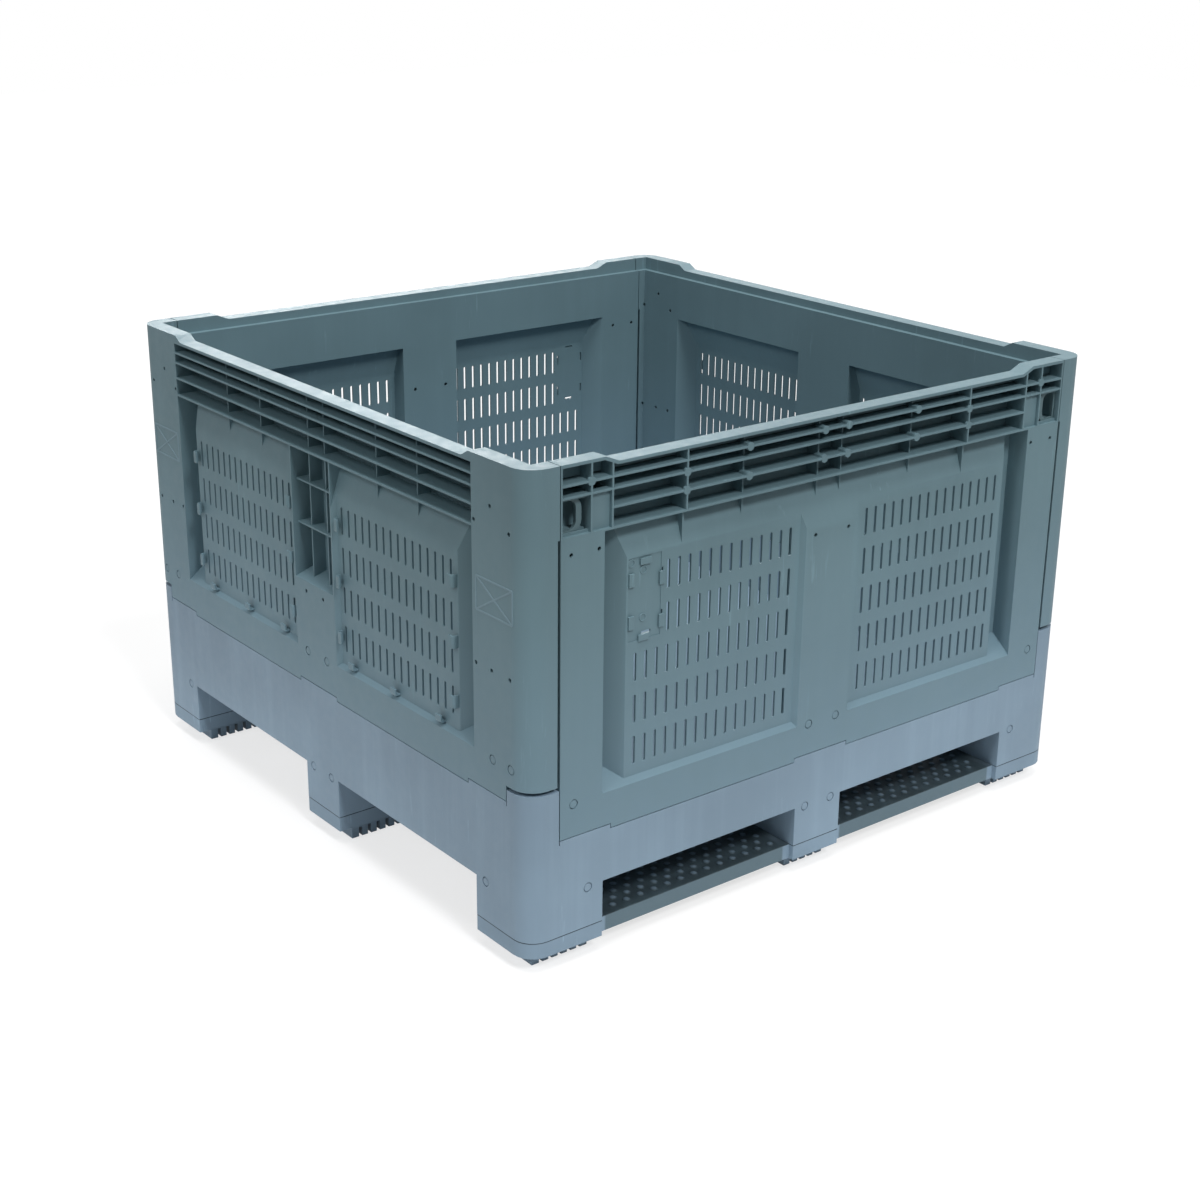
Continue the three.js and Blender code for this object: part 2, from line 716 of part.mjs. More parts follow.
const finishes = {
  wall: { color: 0x5f7a80, roughness: 0.55 },
  base: { color: 0x7f93a3, roughness: 0.55 },
  runner: { color: 0x74899a, roughness: 0.6 },
  latch: { color: 0x5a757b, roughness: 0.5 },
  pin: { color: 0xa9adb0, roughness: 0.35, metalness: 0.9 },
};

function toGeometry(solid) {
  const mesh = solid.getMesh();
  const geometry = new THREE.BufferGeometry();
  geometry.setAttribute('position', new THREE.BufferAttribute(new Float32Array(mesh.vertProperties), 3));
  geometry.setIndex(new THREE.BufferAttribute(new Uint32Array(mesh.triVerts), 1));
  geometry.computeVertexNormals();
  return geometry;
}

function named(name, solid, finish) {
  const mesh = new THREE.Mesh(toGeometry(solid), new THREE.MeshStandardMaterial(finishes[finish]));
  mesh.name = name;
  return mesh;
}

// A wall's own space placed on one side of the container.
function sideGroup(distance, turn) {
  const group = new THREE.Group();
  const inner = new THREE.Group();
  inner.position.set(0, -distance, 0);
  group.rotation.z = THREE.MathUtils.degToRad(turn);
  group.add(inner);
  return { group, inner };
}

const container = new THREE.Group();
container.name = 'collapsible_bulk_container';
container.add(named('pallet_base', baseSolid(), 'base'));

const outerY = width / 2;
const innerY = outerY - cornerFootWidth;
const frontRunner = runnerSolid(-outerY, -innerY, padSetIn - outerY, -innerY - runnerSetIn);
container.add(named('runner_front', frontRunner, 'runner'));
const centreRunner = runnerSolid(-middleFootHalf, middleFootHalf, 8 - middleFootHalf, middleFootHalf - 8);
container.add(named('runner_centre', centreRunner, 'runner'));
const backRunner = runnerSolid(innerY, outerY, innerY + runnerSetIn, outerY - padSetIn);
container.add(named('runner_back', backRunner, 'runner'));

const places = ['left', 'middle', 'right'];
const longSolid = longWallSolid();
const endSolid = endWallSolid();
const latchRight = latchSolid();
const latchLeft = latchRight.mirror([1, 0, 0]);

for (const [side, turn] of [['front', 0], ['back', 180]]) {
  const { group, inner } = sideGroup(width / 2, turn);
  inner.add(named(`${side}_wall`, longSolid, 'wall'));
  inner.add(named(`latch_${side}_left`, latchLeft, 'latch'));
  inner.add(named(`latch_${side}_right`, latchRight, 'latch'));
  hingePlaces.forEach((place, i) => {
    inner.add(named(`hinge_pin_${side}_${places[i]}`, pinSolid(longWallBottom, place), 'pin'));
  });
  container.add(group);
}

for (const [side, turn] of [['left', -90], ['right', 90]]) {
  const { group, inner } = sideGroup(length / 2, turn);
  inner.add(named(`${side}_wall`, endSolid, 'wall'));
  hingePlaces.forEach((place, i) => {
    inner.add(named(`hinge_pin_${side}_${places[i]}`, pinSolid(endWallBottom, place), 'pin'));
  });
  container.add(group);
}

export default container;
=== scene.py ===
"""A collapsible bulk container of moulded polyethylene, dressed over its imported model.

Each wall has a space of its own: u runs along the wall seen from outside, depth goes in from its
outer face, and z goes up, all in millimetres. in_room() turns that space into the frame's metres.
"""
import json
import math

import bmesh
import bpy
import numpy as np
from mathutils import Matrix, Vector


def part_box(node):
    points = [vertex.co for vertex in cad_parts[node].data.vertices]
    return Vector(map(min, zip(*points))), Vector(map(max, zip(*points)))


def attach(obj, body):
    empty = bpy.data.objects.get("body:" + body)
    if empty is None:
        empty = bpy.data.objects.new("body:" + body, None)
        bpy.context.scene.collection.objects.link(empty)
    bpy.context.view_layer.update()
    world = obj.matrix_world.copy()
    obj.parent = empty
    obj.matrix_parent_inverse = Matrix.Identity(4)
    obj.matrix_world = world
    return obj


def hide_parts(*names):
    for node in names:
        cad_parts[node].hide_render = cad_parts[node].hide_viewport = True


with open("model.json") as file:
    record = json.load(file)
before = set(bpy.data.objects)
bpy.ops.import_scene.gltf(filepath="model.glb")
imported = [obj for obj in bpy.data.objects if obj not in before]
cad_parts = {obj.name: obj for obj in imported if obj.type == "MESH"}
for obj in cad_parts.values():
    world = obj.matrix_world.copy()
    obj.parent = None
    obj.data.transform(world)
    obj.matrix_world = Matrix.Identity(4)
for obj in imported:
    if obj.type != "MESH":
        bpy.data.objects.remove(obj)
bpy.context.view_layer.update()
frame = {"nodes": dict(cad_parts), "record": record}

MM = 0.001
BODIES = {node: body for body, nodes in frame["record"]["behaviour"]["bodies"].items() for node in nodes}

# The outside of the container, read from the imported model
LENGTH = (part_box("pallet_base")[1].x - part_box("pallet_base")[0].x) / MM
WIDTH = (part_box("pallet_base")[1].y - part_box("pallet_base")[0].y) / MM

# Camera, worked out from the photograph's vanishing lines
CAMERA_AT = (-2.08398, -2.62862, 1.55022)
CAMERA_YAW = math.radians(-38.46)
CAMERA_PITCH = math.radians(-20.44)
CAMERA_ROLL = math.radians(0.62)
CAMERA_LENS = 57.59

# Small rounds on the moulded edges
WALL_ROUND = 0.9
BASE_ROUND = 1.4
RUNNER_ROUND = 1.2
LATCH_ROUND = 0.8

# Vent panels: the depth of their face, and the slots in it
PANEL_DEPTH = 8.0
PANEL_SKIN = 3.5
SLOT_ZONE = (275.0, 620.0)
SLOT_ROUND = 2.6

# Card clips on the end walls: how far each stands out, turns back and reaches, and where they sit
HOOK_OUT = 9.0
HOOK_REACH = 11.0
HOOK_TURN = 3.0
HOOK_HALF_THICK = 1.8
SIDE_CLIP_HALF = 10.5
LEDGE_CLIP_HALF = 8.0
END_LEDGE = 345.5
END_LEDGE_CLIPS = (111.0, 237.5, 366.5)
END_SIDE_CLIPS = (391.0, 488.0, 585.0)
END_CLIP_COLUMNS = (73.5, 409.5)

# The label field on the long walls: clips as (u, z, upright), slots as (u, z, half width, half height)
LABEL_CLIPS = ((-378.0, 622.0, False), (-380.0, 502.0, False), (-404.5, 596.0, True),
               (-404.5, 529.0, True), (-346.0, 589.0, True), (-346.0, 521.0, True))
LABEL_CLIP_SIZE = (10.5, 5.2)
LABEL_CLIP_OUT = 3.2
LABEL_SLOTS = ((-374.0, 622.0, 9.0, 1.6), (-374.0, 509.0, 9.0, 2.0), (-405.8, 596.5, 2.2, 8.5),
               (-405.8, 528.5, 2.2, 8.5), (-345.0, 595.5, 1.6, 9.5), (-345.0, 528.5, 1.6, 9.5))
LABEL_SLOT_DEPTH = 10.0
LABEL_DISCS = ((-404.0, 622.0), (-381.0, 608.0), (-381.0, 533.0))

# Pinholes and round plugs, mirrored across each wall's middle
LONG_PINHOLES = ((521.3, 661.0), (470.7, 661.0), (36.5, 595.0))
END_PINHOLES = ((507.0, 726.5), (553.3, 696.5), (467.0, 697.0), (553.7, 475.5), (508.3, 475.8),
                (468.6, 476.3), (27.0, 442.0))
LONG_PLUGS = ((514.6, 268.3), (30.7, 268.3))
END_PLUGS = ((30.8, 333.0), (508.3, 333.0), (554.2, 333.0))
BASE_PLUGS = ((486.0, 119.0), (29.6, 119.0))
PINHOLE_RADIUS = 3.4
PINHOLE_DEPTH = 46.0
PLUG_RADIUS = 8.0
PLUG_DEPTH = 2.4
PLUG_GAP = 1.3

# Runners: the bays between the feet, and the rows of low round studs on top
BAY = (66.0, 444.0)
RUNNER_TOP = 52.0
STUD_PITCH = (28.0, 17.0)
STUD_RADIUS = 7.0
STUD_HEIGHT = 2.6
STUD_SINK = 0.5

# The crossed square on the posts: its sides, half the width of its bars, and how proud they stand
SQUARE = (471.0, 560.6, 561.0, 613.5)
SQUARE_BAR = 1.5
SQUARE_PROUD = 0.6

# Heights between which the walls' colour goes over to painted light bounced from the floor, lighter and
# bluer low down, and how softly the runners' darker stretch between the feet ends
PAINTED_BOUNCE_FROM = 600.0
PAINTED_BOUNCE_TO = 180.0
BAY_DARK_EDGE = 2.0

# Colours as they look under plain light, in the display's own values, save the painted light marked
# below
WALL_COLOUR = (97, 122, 130)
# Painted light: the walls' lighter, bluer colour low down, standing in for light bounced up from the
# floor
PAINTED_BOUNCE_COLOUR = (107, 132, 146)
# The base's lighter, bluer colour is partly its own plastic and partly painted light bounced up from the
# floor
BASE_COLOUR = (115, 135, 151)
RUNNER_COLOUR = (112, 132, 148)
LATCH_COLOUR = (88, 110, 116)
# A darker colour on the runners' tops
TOP_DARK_COLOUR = (42, 53, 58)
# A darker colour on the runners along the bays between the feet
BAY_DARK_COLOUR = (78, 98, 106)
WORN_COLOUR = (112, 135, 145)
PIN_COLOUR = (168, 172, 174)


def linear(colour):
    """A display colour, 0 to 255, as the linear values that a shader takes."""
    c = np.array(colour, float) / 255.0
    c = np.where(c <= 0.04045, c / 12.92, ((c + 0.055) / 1.055) ** 2.4)
    return (float(c[0]), float(c[1]), float(c[2]), 1.0)


def in_room(side, points):
    """Wall space (u, depth, z) in millimetres to the frame's metres, by turning about the middle."""
    p = np.asarray(points, float)
    u, depth, z = p[..., 0], p[..., 1], p[..., 2]
    half_x, half_y = LENGTH / 2, WIDTH / 2
    turned = {
        "front": (u, depth - half_y),
        "back": (-u, half_y - depth),
        "left": (depth - half_x, -u),
        "right": (half_x - depth, u),
    }[side]
    return np.stack([turned[0], turned[1], z], axis=-1) * MM


# Camera, lights and floor

def set_camera():
    forward = Vector((-math.sin(CAMERA_YAW) * math.cos(CAMERA_PITCH),
                      math.cos(CAMERA_YAW) * math.cos(CAMERA_PITCH), math.sin(CAMERA_PITCH)))
    right = Vector((math.cos(CAMERA_YAW), math.sin(CAMERA_YAW), 0.0))
    up = right.cross(forward)
    rolled_right = right * math.cos(CAMERA_ROLL) + up * math.sin(CAMERA_ROLL)
    rolled_up = up * math.cos(CAMERA_ROLL) - right * math.sin(CAMERA_ROLL)
    turn = Matrix((rolled_right, rolled_up, -forward)).transposed()
    camera = bpy.data.objects.new("camera", bpy.data.cameras.new("camera"))
    camera.data.sensor_width = 36.0
    camera.data.lens = CAMERA_LENS
    camera.data.clip_end = 50.0
    camera.matrix_world = Matrix.Translation(CAMERA_AT) @ turn.to_4x4()
    bpy.context.scene.collection.objects.link(camera)
    bpy.context.scene.camera = camera


def soft_sun(name, strength, spread, direction):
    light = bpy.data.lights.new(name, "SUN")
    light.energy = strength
    light.angle = math.radians(spread)
    lamp = bpy.data.objects.new(name, light)
    lamp.rotation_euler = Vector(direction).to_track_quat("-Z", "Y").to_euler()
    bpy.context.scene.collection.objects.link(lamp)


def shown_white(nodes):
    """1 where a ray comes from the camera, a mirror or glass, which then sees plain white."""
    path = nodes.new("ShaderNodeLightPath")
    seen = nodes.new("ShaderNodeMath")
    seen.operation = "MAXIMUM"
    all_seen = nodes.new("ShaderNodeMath")
    all_seen.operation = "MAXIMUM"
    links = nodes.id_data.links
    links.new(path.outputs["Is Camera Ray"], seen.inputs[0])
    links.new(path.outputs["Is Glossy Ray"], seen.inputs[1])
    links.new(seen.outputs[0], all_seen.inputs[0])
    links.new(path.outputs["Is Transmission Ray"], all_seen.inputs[1])
    return all_seen.outputs[0]


def set_world(ambient):
    world = bpy.data.worlds.new("studio")
    world.use_nodes = True
    bpy.context.scene.world = world
    nodes, links = world.node_tree.nodes, world.node_tree.links
    background = nodes["Background"]
    background.inputs["Color"].default_value = (1.0, 1.0, 1.0, 1.0)
    strength = nodes.new("ShaderNodeMapRange")
    strength.inputs["To Min"].default_value = ambient
    strength.inputs["To Max"].default_value = 1.0
    links.new(shown_white(nodes), strength.inputs["Value"])
    links.new(strength.outputs[0], background.inputs["Strength"])


def lay_floor(half_size, glow, bounce):
    """A flat square of pale floor that shows as near white. Close to the container it sends light
    back up, and further off, beyond the edge of a lit table, little."""
    x = np.array([-half_size, half_size, half_size, -half_size])
    y = np.array([-half_size, -half_size, half_size, half_size])
    floor = new_object("floor", np.stack([x, y, np.zeros(4)], axis=-1), np.array([[0, 1, 2, 3]]))
    material = bpy.data.materials.new("pale_floor")
    material.use_nodes = True
    nodes, links = material.node_tree.nodes, material.node_tree.links
    shader = nodes["Principled BSDF"]
    away = nodes.new("ShaderNodeVectorMath")
    away.operation = "LENGTH"
    links.new(nodes.new("ShaderNodeTexCoord").outputs["Object"], away.inputs[0])
    lit = ramped(material.node_tree, away.outputs["Value"], 1.0, 2.2, bounce, 0.12)
    grey = nodes.new("ShaderNodeMapRange")
    links.new(lit, grey.inputs["To Min"])
    grey.inputs["To Max"].default_value = 1.0
    path = nodes.new("ShaderNodeLightPath")
    links.new(path.outputs["Is Camera Ray"], grey.inputs["Value"])
    links.new(grey.outputs[0], shader.inputs["Base Color"])
    shader.inputs["Roughness"].default_value = 0.9
    shader.inputs["Specular IOR Level"].default_value = 0.1
    shine = nodes.new("ShaderNodeEmission")
    shine.inputs["Strength"].default_value = 1.0
    blend = nodes.new("ShaderNodeMixShader")
    share = nodes.new("ShaderNodeMath")
    share.operation = "MULTIPLY"
    share.inputs[1].default_value = glow
    links.new(shown_white(nodes), share.inputs[0])
    links.new(share.outputs[0], blend.inputs["Fac"])
    links.new(shader.outputs[0], blend.inputs[1])
    links.new(shine.outputs[0], blend.inputs[2])
    links.new(blend.outputs[0], nodes["Material Output"].inputs["Surface"])
    floor.data.materials.append(material)


# Mesh makers

def new_object(name, vertices, quads):
    """Arrays of vertices in metres and of four-cornered faces as one object at the origin."""
    mesh = bpy.data.meshes.new(name)
    mesh.from_pydata(np.asarray(vertices).reshape(-1, 3).tolist(), [], np.asarray(quads).tolist())
    mesh.update()
    piece = bpy.data.objects.new(name, mesh)
    bpy.context.scene.collection.objects.link(piece)
    return piece


def close_up(piece, smooth_below=35.0):
    """Merges poles and seams, turns the faces outwards and smooths across gentle edges."""
    bm = bmesh.new()
    bm.from_mesh(piece.data)
    bmesh.ops.remove_doubles(bm, verts=bm.verts, dist=1e-6)
    bmesh.ops.dissolve_degenerate(bm, edges=bm.edges, dist=1e-7)
    bmesh.ops.recalc_face_normals(bm, faces=bm.faces)
    soften(bm, smooth_below)
    bm.to_mesh(piece.data)
    bm.free()
    return piece


def soften(bm, smooth_below):
    limit = math.radians(smooth_below)
    for face in bm.faces:
        face.smooth = True
    for edge in bm.edges:
        edge.smooth = edge.calc_face_angle(math.pi) < limit


def grid_quads(rows, columns, wrap_columns):
    """Corner numbers of the quads of a grid of points, whose columns may close on themselves."""
    last = columns if wrap_columns else columns - 1
    i, j = np.meshgrid(np.arange(rows - 1), np.arange(last), indexing="ij")
    k = (j + 1) % columns
    return np.stack([i * columns + j, i * columns + k, (i + 1) * columns + k, (i + 1) * columns + j],
                    axis=-1).reshape(-1, 4)


def many(name, shapes, wrap_columns=True):
    """Several equal grids of points, shaped (copies, rows, columns, 3), as one object."""
    shapes = np.asarray(shapes, float)
    copies, rows, columns = shapes.shape[:3]
    quads = grid_quads(rows, columns, wrap_columns)
    starts = np.arange(copies)[:, None, None] * rows * columns
    return new_object(name, shapes.reshape(-1, 3), (quads[None] + starts).reshape(-1, 4))


def turned_disc(profile, sides):
    """A profile of (radius, height out of the wall) turned once round: u = r cos t, z = r sin t."""
    r, out = np.array(profile, float).T
    t = np.linspace(0, 2 * math.pi, sides, endpoint=False)
    r, out = r[:, None], out[:, None]
    return np.stack([r * np.cos(t), -out * np.ones_like(t), r * np.sin(t)], axis=-1)


def rounded_bar(path, half_wide, half_thick, across, rings=16, power=5.0):
    """A bar carried along a path. Its section is a superellipse, |a/wide|^n + |b/thick|^n = 1,
    and its two ends draw in to a point over two more rings."""
    path = np.asarray(path, float)
    ahead = np.gradient(path, axis=0)
    ahead /= np.linalg.norm(ahead, axis=1, keepdims=True)
    across = np.asarray(across, float)
    other = np.cross(ahead, across)
    other /= np.linalg.norm(other, axis=1, keepdims=True)
    t = np.linspace(0, 2 * math.pi, rings, endpoint=False)
    a = half_wide * np.sign(np.cos(t)) * np.abs(np.cos(t)) ** (2 / power)
    b = half_thick * np.sign(np.sin(t)) * np.abs(np.sin(t)) ** (2 / power)
    inset = min(half_wide, half_thick) * 0.25
    centres = np.concatenate([path[:1], path[:1], path[:1] + ahead[:1] * inset, path[1:-1],
                              path[-1:] - ahead[-1:] * inset, path[-1:], path[-1:]])
    sideways = np.concatenate([other[:1]] * 3 + [other[1:-1]] + [other[-1:]] * 3)
    shrink = np.concatenate([[0.0, 0.8, 1.0], np.ones(len(path) - 2), [1.0, 0.8, 0.0]])
    return (centres[:, None] + shrink[:, None, None]
            * (a[None, :, None] * across + b[None, :, None] * sideways[:, None]))


# Materials

def new_group(name, inputs, outputs):
    group = bpy.data.node_groups.new(name, "ShaderNodeTree")
    for label, kind, value in inputs:
        socket = group.interface.new_socket(label, in_out="INPUT", socket_type=kind)
        if value is not None:
            socket.default_value = value
    for label, kind in outputs:
        group.interface.new_socket(label, in_out="OUTPUT", socket_type=kind)
    return group, group.nodes.new("NodeGroupInput"), group.nodes.new("NodeGroupOutput")


def noise(tree, position, scale, detail, roughness=0.5):
    node = tree.nodes.new("ShaderNodeTexNoise")
    node.inputs["Scale"].default_value = scale
    node.inputs["Detail"].default_value = detail
    node.inputs["Roughness"].default_value = roughness
    tree.links.new(position, node.inputs["Vector"])
    return node.outputs["Fac"]


def stretched(tree, position, scale):
    node = tree.nodes.new("ShaderNodeMapping")
    node.inputs["Scale"].default_value = scale
    tree.links.new(position, node.inputs["Vector"])
    return node.outputs["Vector"]


def ramped(tree, value, low, high, to_low, to_high):
    node = tree.nodes.new("ShaderNodeMapRange")
    node.inputs["From Min"].default_value = low
    node.inputs["From Max"].default_value = high
    node.inputs["To Min"].default_value = to_low
    node.inputs["To Max"].default_value = to_high
    tree.links.new(value, node.inputs["Value"])
    return node.outputs["Result"]


def worked(tree, first, second, operation="MULTIPLY"):
    """Two values, each a number or a socket, put through one sum."""
    node = tree.nodes.new("ShaderNodeMath")
    node.operation = operation
    for socket, value in zip(node.inputs, (first, second)):
        if isinstance(value, (int, float)):
            socket.default_value = value
        else:
            tree.links.new(value, socket)
    return node.outputs[0]


def mixed(tree, factor, first, second):
    node = tree.nodes.new("ShaderNodeMix")
    node.data_type = "RGBA"
    tree.links.new(factor, node.inputs["Factor"])
    for socket, value in ((node.inputs["A"], first), (node.inputs["B"], second)):
        if isinstance(value, tuple):
            socket.default_value = value
        else:
            tree.links.new(value, socket)
    return node.outputs["Result"]


def cloudiness_group():
    """Slow pale and dark clouds in the plastic, and vertical streaks left by the melt's flow."""
    group, given, wanted = new_group(
        "melt_clouds",
        [("Colour", "NodeSocketColor", None), ("Pale", "NodeSocketColor", None),
         ("Clouds", "NodeSocketFloat", 0.3), ("Streaks", "NodeSocketFloat", 0.2)],
        [("Colour", "NodeSocketColor")])
    position = group.nodes.new("ShaderNodeTexCoord").outputs["Object"]
    cloud = ramped(group, noise(group, position, 3.2, 3.0), 0.35, 0.68, 0.0, 1.0)
    along = noise(group, stretched(group, position, (26.0, 26.0, 1.1)), 1.0, 4.0, 0.6)
    streak = ramped(group, along, 0.45, 0.75, 0.0, 1.0)
    share = worked(group, worked(group, cloud, given.outputs["Clouds"]),
                   worked(group, streak, given.outputs["Streaks"]), "ADD")
    colour = mixed(group, share, given.outputs["Colour"], given.outputs["Pale"])
    group.links.new(colour, wanted.inputs["Colour"])
    return group


def scuff_group():
    """Fine pale scratches: thin bands of a noise stretched along one way, broken up by another."""
    group, given, wanted = new_group(
        "scuffs", [("Amount", "NodeSocketFloat", 0.3)], [("Mask", "NodeSocketFloat")])
    position = group.nodes.new("ShaderNodeTexCoord").outputs["Object"]
    lines = noise(group, stretched(group, position, (90.0, 90.0, 9.0)), 1.0, 5.0, 0.65)
    thin = ramped(group, lines, 0.60, 0.68, 0.0, 1.0)
    patches = ramped(group, noise(group, position, 7.0, 2.0), 0.50, 0.66, 0.0, 1.0)
    mask = worked(group, worked(group, thin, patches), given.outputs["Amount"])
    group.links.new(mask, wanted.inputs["Mask"])
    return group


def grain_group():
    """The mould's fine grain over a faint waviness, as a height."""
    group, given, wanted = new_group(
        "mould_grain", [("Grain", "NodeSocketFloat", 1.0), ("Waves", "NodeSocketFloat", 1.0)],
        [("Height", "NodeSocketFloat")])
    position = group.nodes.new("ShaderNodeTexCoord").outputs["Object"]
    fine = worked(group, noise(group, position, 900.0, 2.0), given.outputs["Grain"])
    slow = worked(group, noise(group, position, 14.0, 2.0), given.outputs["Waves"])
    group.links.new(worked(group, fine, slow, "ADD"), wanted.inputs["Height"])
    return group


GROUPS = {"clouds": cloudiness_group(), "scuffs": scuff_group(), "grain": grain_group()}


def use_group(tree, key, **values):
    node = tree.nodes.new("ShaderNodeGroup")
    node.node_tree = GROUPS[key]
    for name, value in values.items():
        node.inputs[name].default_value = value
    return node


def moulded_plastic(name, colour, roughness, clouds=0.3, streaks=0.1, scuffs=0.2, grain=0.35, waves=1.0):
    """Satin polyethylene: clouded colour, pale scuffs that are also duller, and a fine grain."""
    material = bpy.data.materials.new(name)
    material.use_nodes = True
    tree = material.node_tree
    shader = tree.nodes["Principled BSDF"]
    base = linear(colour)
    pale = linear(tuple(min(255.0, c * 1.17 + 6) for c in colour))
    scratched = linear(tuple(min(255.0, c * 1.35 + 26) for c in colour))
    cloud = use_group(tree, "clouds", Colour=base, Pale=pale, Clouds=clouds, Streaks=streaks)
    scuff = use_group(tree, "scuffs", Amount=scuffs)
    tree.links.new(mixed(tree, scuff.outputs["Mask"], cloud.outputs["Colour"], scratched),
                   shader.inputs["Base Color"])
    position = tree.nodes.new("ShaderNodeTexCoord").outputs["Object"]
    rough = ramped(tree, noise(tree, position, 60.0, 3.0), 0.3, 0.7, roughness - 0.06, roughness + 0.06)
    tree.links.new(worked(tree, rough, scuff.outputs["Mask"], "ADD"), shader.inputs["Roughness"])
    height = use_group(tree, "grain", Grain=grain, Waves=waves)
    bump = tree.nodes.new("ShaderNodeBump")
    bump.inputs["Strength"].default_value = 0.35
    bump.inputs["Distance"].default_value = 0.0012
    tree.links.new(height.outputs["Height"], bump.inputs["Height"])
    tree.links.new(bump.outputs["Normal"], shader.inputs["Normal"])
    shader.inputs["Specular IOR Level"].default_value = 0.28
    return material


def by_height(material, start, end, colour, share):
    """Changes a material's colour towards another between two heights, by a share that clouds vary."""
    tree = material.node_tree
    shader = tree.nodes["Principled BSDF"]
    source = shader.inputs["Base Color"].links[0].from_socket
    apart = tree.nodes.new("ShaderNodeSeparateXYZ")
    position = tree.nodes.new("ShaderNodeTexCoord").outputs["Object"]
    tree.links.new(position, apart.inputs[0])
    spots = ramped(tree, noise(tree, position, 30.0, 3.0), 0.3, 0.6, 0.8 * share, share)
    risen = worked(tree, ramped(tree, apart.outputs["Z"], start * MM, end * MM, 0.0, 1.0), spots)
    tree.links.new(mixed(tree, risen, source, linear(colour)), shader.inputs["Base Color"])
    return material


def pin_steel(name, colour):
    """Drawn steel, slightly clouded."""
    material = bpy.data.materials.new(name)
    material.use_nodes = True
    tree = material.node_tree
    shader = tree.nodes["Principled BSDF"]
    cloud = use_group(tree, "clouds", Colour=linear(colour), Pale=linear((205, 206, 206)), Clouds=0.4)
    tree.links.new(cloud.outputs["Colour"], shader.inputs["Base Color"])
    shader.inputs["Metallic"].default_value = 1.0
    shader.inputs["Roughness"].default_value = 0.38
    return material


def wall_plastic(name):
    """The walls' plastic, painted lighter and bluer towards the bottom as painted light bounced up from
    the floor.
    """
    return by_height(moulded_plastic(name, WALL_COLOUR, 0.50), PAINTED_BOUNCE_FROM, PAINTED_BOUNCE_TO, PAINTED_BOUNCE_COLOUR, 0.95)


def runner_plastic(name):
    """The runners' plastic: darker along the bars between the feet and darker on their tops,
    with the studs' tops lighter as a painted highlight."""
    material = moulded_plastic(name, RUNNER_COLOUR, 0.55, clouds=0.5, scuffs=0.6)
    tree = material.node_tree
    shader = tree.nodes["Principled BSDF"]
    source = shader.inputs["Base Color"].links[0].from_socket
    apart = tree.nodes.new("ShaderNodeSeparateXYZ")
    tree.links.new(tree.nodes.new("ShaderNodeTexCoord").outputs["Object"], apart.inputs[0])
    distance = worked(tree, apart.outputs["X"], 0.0, "ABSOLUTE")
    start, end, soft = BAY[0] * MM, BAY[1] * MM, BAY_DARK_EDGE * MM
    bar = worked(tree, ramped(tree, distance, start - soft, start + soft, 0.0, 1.0),
                 ramped(tree, distance, end - soft, end + soft, 0.85, 0.0))
    # Darker along the bays between the feet
    tree.links.new(mixed(tree, bar, source, linear(BAY_DARK_COLOUR)), shader.inputs["Base Color"])
    # Darker on the runners' tops
    by_height(material, RUNNER_TOP - 1.4, RUNNER_TOP - 0.6, TOP_DARK_COLOUR, 0.95)
    # Painted highlight: the studs' tops lighter, back towards the runner's colour
    return by_height(material, RUNNER_TOP + 0.5, RUNNER_TOP + 2.0, RUNNER_COLOUR, 0.6)


MATERIALS = {
    "wall_plastic": wall_plastic("wall_plastic"),
    "base_plastic": moulded_plastic("base_plastic", BASE_COLOUR, 0.52, clouds=0.4, streaks=0.22),
    "runner_plastic": runner_plastic("runner_plastic"),
    "latch_plastic": moulded_plastic("latch_plastic", LATCH_COLOUR, 0.45, streaks=0.0),
    "worn_plastic": moulded_plastic("worn_plastic", WORN_COLOUR, 0.6, scuffs=0.4),
    "pin_steel": pin_steel("pin_steel", PIN_COLOUR),
}


def finished(piece, body, slot, material=None, replaces=None):
    """Gives a piece its material and its body, and hides the part it replaces."""
    piece.data.materials.clear()
    piece.data.materials.append(MATERIALS[material or slot])
    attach(piece, body)
    if replaces:
        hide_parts(replaces)
    return piece


# The moulded bodies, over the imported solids

def merged_copy(node, name):
    """The node's loose triangles joined into one shell, with its flat areas made whole."""
    bm = bmesh.new()
    bm.from_mesh(frame["nodes"][node].data)
    bmesh.ops.remove_doubles(bm, verts=bm.verts, dist=4e-6)
    bmesh.ops.dissolve_limit(bm, angle_limit=math.radians(0.4), verts=bm.verts, edges=bm.edges,
                             use_dissolve_boundaries=False)
    mesh = bpy.data.meshes.new(name)
    bm.to_mesh(mesh)
    bm.free()
    piece = bpy.data.objects.new(name, mesh)
    bpy.context.scene.collection.objects.link(piece)
    return piece


def round_slots(piece, depth_axis, outer):
    """Rounds the four corners of every vent slot, found as the short edges through the panel's skin."""
    bm = bmesh.new()
    bm.from_mesh(piece.data)
    low, high = SLOT_ZONE[0] * MM, SLOT_ZONE[1] * MM
    corners = []
    for edge in bm.edges:
        a, b = edge.verts[0].co, edge.verts[1].co
        through = abs(a[depth_axis] - b[depth_axis])
        depth = abs(outer - (a[depth_axis] + b[depth_axis]) / 2) / MM
        if (abs(edge.calc_length() - through) < 1e-5 and abs(through / MM - PANEL_SKIN) < 0.2
                and abs(depth - PANEL_DEPTH - PANEL_SKIN / 2) < 0.6 and low < a.z < high):
            corners.append(edge)
    bmesh.ops.bevel(bm, geom=corners, offset=SLOT_ROUND * MM, offset_type="OFFSET", segments=3,
                    profile=0.5, affect="EDGES", clamp_overlap=True)
    bm.to_mesh(piece.data)
    bm.free()


